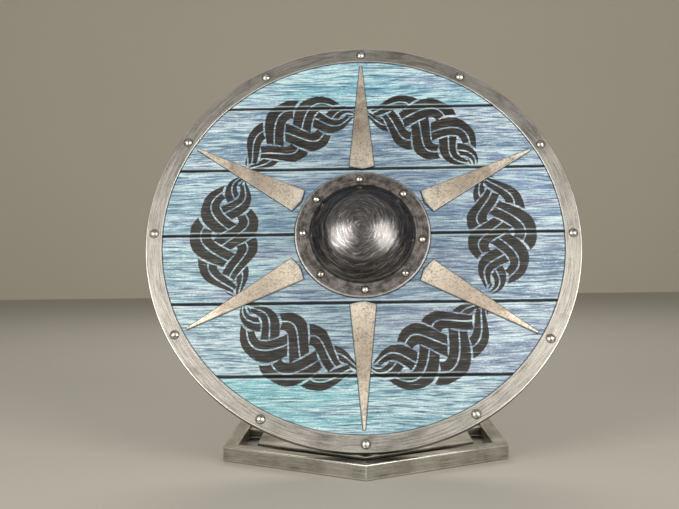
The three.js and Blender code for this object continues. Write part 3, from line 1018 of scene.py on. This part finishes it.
def boss_profile():
    """The dome from its crown out, the flange and its lip, and back up the inside."""
    inner = DOME_RADIUS - BOSS_SHEET
    outside = cap(DOME_RADIUS, DOME_RISE - DOME_STEP, BOSS_FRONT + DOME_STEP, DOME_STEPS)
    under = cap(inner, DOME_RISE - BOSS_SHEET, BOSS_FRONT, HOLLOW_STEPS)
    foot = [
        (DOME_RADIUS + 0.35, BOSS_FRONT + DOME_STEP - 0.35, 0.25),
        (DOME_RADIUS + 0.45, BOSS_FRONT + 0.7, 0.1),
        (DOME_RADIUS + 0.8, BOSS_FRONT + 0.15, 0.0),
        (FLANGE_START, BOSS_FRONT, 0.0),
    ]
    flange = [(FLANGE_START + (FLANGE_END - FLANGE_START) * i / FLANGE_STEPS, BOSS_FRONT, 0.0)
              for i in range(1, FLANGE_STEPS + 1)]
    lip = [
        (BOSS_RADIUS - 0.9, BOSS_FRONT, 0.7),
        (BOSS_RADIUS - 0.35, BOSS_FRONT - 0.2, 1.0),
        (BOSS_RADIUS - 0.05, BOSS_FRONT - 0.7, 1.0),
        (BOSS_RADIUS - 0.05, GAP + 0.2, 0.6),
        (BOSS_RADIUS - 0.3, GAP, 0.3),
        (inner + 0.3, GAP, 0.0),
        (inner, GAP + 0.3, 0.0),
    ]
    return outside + foot + flange + lip + under[::-1]


boss = turned_mesh("boss", boss_profile(), BOSS_PATH, BOSS_STEPS, boss_steel, uneven_mm=0.22, waves=26.0)
on_shield("boss", tidy_mesh(boss, 45), ["boss"], boss_steel)


# ---- The rivets
RIVET_PATH = 10.0
RIVET_STEPS = 28
SHANK = 2.2
SEAT = 0.05
HEAD_BASE = 0.35
HEAD_STEPS = 8
SIZE_SPREAD = 0.05


def rivet_mesh(name, head_radius, head_height, sheet_top, back_face):
    """A domed head in front, a shank through the shield and a peened tail behind."""
    under = sheet_top + SEAT
    tail = back_face - SEAT
    tail_radius = head_radius * 0.75
    profile = cap(head_radius, head_height - HEAD_BASE, under + HEAD_BASE, HEAD_STEPS)
    profile += [(head_radius, under, 0.0), (SHANK, under, 0.0), (SHANK, tail, 0.0), (tail_radius, tail, 0.0)]
    profile += [(tail_radius * 0.96, tail - 0.5, 0.0), (tail_radius * 0.7, tail - 1.2, 0.0)]
    profile += [(0.0, tail - 1.5, 0.0)]
    return tidy_mesh(turned_mesh(name, profile, RIVET_PATH, RIVET_STEPS, rivet_steel), 50)


rim_spots = [(*polar(RIM_RIVET_RADIUS, angle), 0.0, angle * 7) for angle in RIM_RIVET_ANGLES]
rim_rivets = set_out("rim-rivets", rivet_mesh("rim rivet", RIM_HEAD_RADIUS, 3.0, RIM_FRONT, RIM_BACK),
                     rim_spots, rivet_steel, SIZE_SPREAD)
on_shield("rim-rivets", rim_rivets, numbered("rim-rivet", len(rim_spots)), rivet_steel, 50)

boss_spots = [(i, *polar(BOSS_RIVET_RADIUS, angle)) for i, angle in enumerate(BOSS_RIVET_ANGLES)]
for title, through_grip in (("boss-rivets-sides", False), ("boss-rivets-grip", True)):
    spots = [spot for spot in boss_spots if (abs(spot[1]) < GRIP_HALF_WIDTH) == through_grip]
    back_face = BATTEN_BACK if through_grip else -PLANK_THICKNESS
    copies = set_out(title, rivet_mesh(title, BOSS_HEAD_RADIUS, 2.8, BOSS_FRONT, back_face),
                     [(x, y, 0.0, i * 40) for i, x, y in spots], rivet_steel, SIZE_SPREAD)
    nodes = [f"boss-rivet-{i + 1}" for i, _, _ in spots]
    on_shield(title, copies, nodes, rivet_steel, 50)


# ---- The spikes
SPIKE_ROWS = 36
SPIKE_BANDS = 8
SPIKE_BEVEL = 1.0
SPIKE_SHOULDER = SPIKE_FRONT - 0.8


def spike_mesh():
    """One flat spike along +X, its edges ground to a bevel. Its run holds mm along and across."""
    points = []
    runs = []
    worn = []
    section = [(-1.0, GAP, 0.0), (-1.0, SPIKE_SHOULDER, 1.0)]
    for band in range(SPIKE_BANDS + 1):
        section.append((2 * band / SPIKE_BANDS - 1, SPIKE_FRONT, 0.0))
    section += [(1.0, SPIKE_SHOULDER, 1.0), (1.0, GAP, 0.0)]
    for row in range(SPIKE_ROWS + 1):
        share = row / SPIKE_ROWS
        x = SPIKE_ROOT + (SPIKE_TIP - SPIKE_ROOT) * share
        half = SPIKE_WIDTH / 2 * (1 - share) + SPIKE_TIP_HALF * share
        for side, z, edge in section:
            on_top = z == SPIKE_FRONT
            reach = max(half - SPIKE_BEVEL, half * 0.25) if on_top else half
            y = side * reach
            back = SPIKE_POINT * (1 - abs(y) / half) * (1 - share) ** 6
            front = SPIKE_BEVEL * (1 - share) ** 60 if on_top else 0.0
            points.append(((x - back + front) * MM, y * MM, z * MM))
            runs += (x, y, 0.0)
            worn.append(1.0 if edge or (row == 0) else 0.0)
    mesh = bpy.data.meshes.new("spike")
    mesh.from_pydata(points, [], swept_faces(SPIKE_ROWS, len(section)))
    mesh.attributes.new("run", "FLOAT_VECTOR", "POINT").data.foreach_set("vector", runs)
    mark_points(mesh, "edge", worn)
    return tidy_mesh(mesh, 20)


spikes = set_out("spikes", spike_mesh(), [(0.0, 0.0, 0.0, angle) for angle in SPIKE_ANGLES], spike_steel)
on_shield("spikes", spikes, numbered("spike", len(SPIKE_ANGLES)), spike_steel)

PIN_PLACE = 112.0
PIN_PATH = 5.0
PIN_STEPS = 16
PIN_SHANK = 0.9
pin_seat = SPIKE_FRONT + SEAT
pin_profile = cap(1.5, 0.7, pin_seat, 5)
pin_profile += [(PIN_SHANK, pin_seat, 0.0), (PIN_SHANK, -8.0, 0.0), (0.0, -9.0, 0.0)]
pin = tidy_mesh(turned_mesh("pin", pin_profile, PIN_PATH, PIN_STEPS, rivet_steel))
pin_spots = [(*polar(PIN_PLACE, angle), 0.0, angle) for angle in SPIKE_ANGLES]
pins = set_out("spike-pins", pin, pin_spots, rivet_steel)
on_shield("spike-pins", pins, [], rivet_steel, 50)


# ---- Straight pieces with softened edges
def softened(name, material, radius_mm):
    """A copy of a plain piece with its edges rounded over."""
    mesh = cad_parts[name].data.copy()
    work = bmesh.new()
    work.from_mesh(mesh)
    bmesh.ops.remove_doubles(work, verts=work.verts, dist=0.00001)
    bmesh.ops.dissolve_limit(work, angle_limit=math.radians(1), verts=work.verts, edges=work.edges)
    work.to_mesh(mesh)
    work.free()
    piece = new_object(name, mesh)
    round_over = piece.modifiers.new("round over", "BEVEL")
    round_over.width = radius_mm * MM
    round_over.segments = 3
    round_over.limit_method = "ANGLE"
    round_over.angle_limit = math.radians(40)
    round_over.use_clamp_overlap = True
    finished(name + "-rounded", tidy_mesh(applied(piece, name), 30), [name], material)


for name in ("batten-left", "batten-right", "grip"):
    softened(name, bare_wood, 1.2)
for name, steel, radius_mm in (
    ("base-plate", plate_steel, 0.5), ("cross-bar-front", plate_steel, 0.8),
    ("cross-bar-back", plate_steel, 0.8), ("rest-bar", plate_steel, 0.9),
    ("post", post_steel, 1.6), ("strut", post_steel, 1.2),
):
    softened(name, steel, radius_mm)


# ---- The stand's hexagon
HALF_SECTOR = math.radians(SECTOR / 2)
STRETCH = 1 / math.cos(HALF_SECTOR)
half_tube = TUBE / 2
tube_profile = [
    (x * STRETCH, z, worn) for x, z, worn in rounded_profile([
        (-half_tube, 0.0), (-half_tube, TUBE), (half_tube, TUBE), (half_tube, 0.0),
    ], 1.5, steps=4, fade=1.1)
]
centre_line = STAND_SIDE - GAP - half_tube * STRETCH
hexagon = turned_mesh("frame", [(x + centre_line, z, worn) for x, z, worn in tube_profile], centre_line, 6,
                      hexagon_steel, turn=HALF_SECTOR)
finished("stand-hexagon", tidy_mesh(hexagon, 40),
         [f"frame-tube-{side}" for side in
          ("front-left", "front-right", "right", "back-right", "back-left", "left")], hexagon_steel)


# ---- Floor, backdrop, light and camera
def stage_material(name, colour, roughness):
    g = new_material(name)
    x, y, z = object_millimetres(g)
    cloud = g.noise_at(x * 0.002, y * 0.002, z * 0.002, detail=2.0)
    shade = g.mix(cloud, tuple(c * 0.97 for c in colour[:3]) + (1.0,), colour)
    surface = g.out("ShaderNodeBsdfPrincipled", "BSDF", None, {"Base Color": shade, "Roughness": roughness})
    g.node("ShaderNodeOutputMaterial", None, {"Surface": surface})
    return g.material


def stage_sheet(name, corners, material):
    mesh = bpy.data.meshes.new(name)
    mesh.from_pydata(corners, [], [(0, 1, 2, 3)])
    mesh.materials.append(material)
    new_object(name, mesh)


STAGE = 6
FLOOR_LEVEL = -0.0005
WALL = 4
WALL_TOP = 5
WALL_FOOT = -0.001
floor_corners = [(x, y, FLOOR_LEVEL) for x, y in
                 ((-STAGE, -STAGE), (STAGE, -STAGE), (STAGE, STAGE), (-STAGE, STAGE))]
wall_corners = [(x, WALL, z) for x, z in
                ((-STAGE, WALL_FOOT), (STAGE, WALL_FOOT), (STAGE, WALL_TOP), (-STAGE, WALL_TOP))]
stage_sheet("floor", floor_corners, stage_material("pale floor", paint(176, 172, 162), 0.6))
stage_sheet("backdrop", wall_corners, stage_material("pale backdrop", paint(214, 206, 188), 0.9))


def softbox(name, azimuth, elevation, distance, width, height, power):
    """A soft lamp aimed at the boss. Azimuth is from the front, towards the viewer's right."""
    lamp = bpy.data.lights.new(name, "AREA")
    lamp.shape = "RECTANGLE"
    lamp.size = width
    lamp.size_y = height
    lamp.energy = power
    lamp.color = (1.0, 0.97, 0.92)
    holder = new_object(name, lamp)
    a = math.radians(azimuth)
    e = math.radians(elevation)
    out = Vector((math.sin(a) * math.cos(e), -math.cos(a) * math.cos(e), math.sin(e)))
    holder.location = SHIELD_CENTRE + out * distance
    holder.rotation_euler = (-out).to_track_quat("-Z", "Y").to_euler()
    holder.visible_camera = False


softbox("left softbox", -40, 20, 2.2, 1.2, 1.5, 32)
softbox("right softbox", 41, 20, 2.2, 1.2, 1.5, 33)
softbox("back fill", 180, 40, 2.6, 2.0, 1.4, 20)

world = bpy.data.worlds.new("studio")
bpy.context.scene.world = world
world.use_nodes = True
background = world.node_tree.nodes["Background"]
background.inputs["Color"].default_value = (1.0, 0.98, 0.95, 1.0)
background.inputs["Strength"].default_value = 0.35
bpy.context.scene.view_settings.view_transform = "Standard"

YAW = math.radians(1.28)
PITCH = math.radians(-0.48)
ROLL = math.radians(-0.77)
CAMERA_PLACE = Vector((-4.4, -1335.8, 290.2)) * MM
forward = Vector((-math.sin(YAW) * math.cos(PITCH), math.cos(YAW) * math.cos(PITCH), math.sin(PITCH)))
level_right = Vector((math.cos(YAW), math.sin(YAW), 0))
level_up = level_right.cross(forward)
right = level_right * math.cos(ROLL) + level_up * math.sin(ROLL)
up = level_up * math.cos(ROLL) - level_right * math.sin(ROLL)
camera_data = bpy.data.cameras.new("camera")
camera_data.sensor_width = 36
camera_data.lens = 47.72
camera = new_object("camera", camera_data)
camera.matrix_world = Matrix((
    (right.x, up.x, -forward.x, CAMERA_PLACE.x),
    (right.y, up.y, -forward.y, CAMERA_PLACE.y),
    (right.z, up.z, -forward.z, CAMERA_PLACE.z),
    (0, 0, 0, 1),
))
bpy.context.scene.camera = camera

bpy.context.view_layer.update()
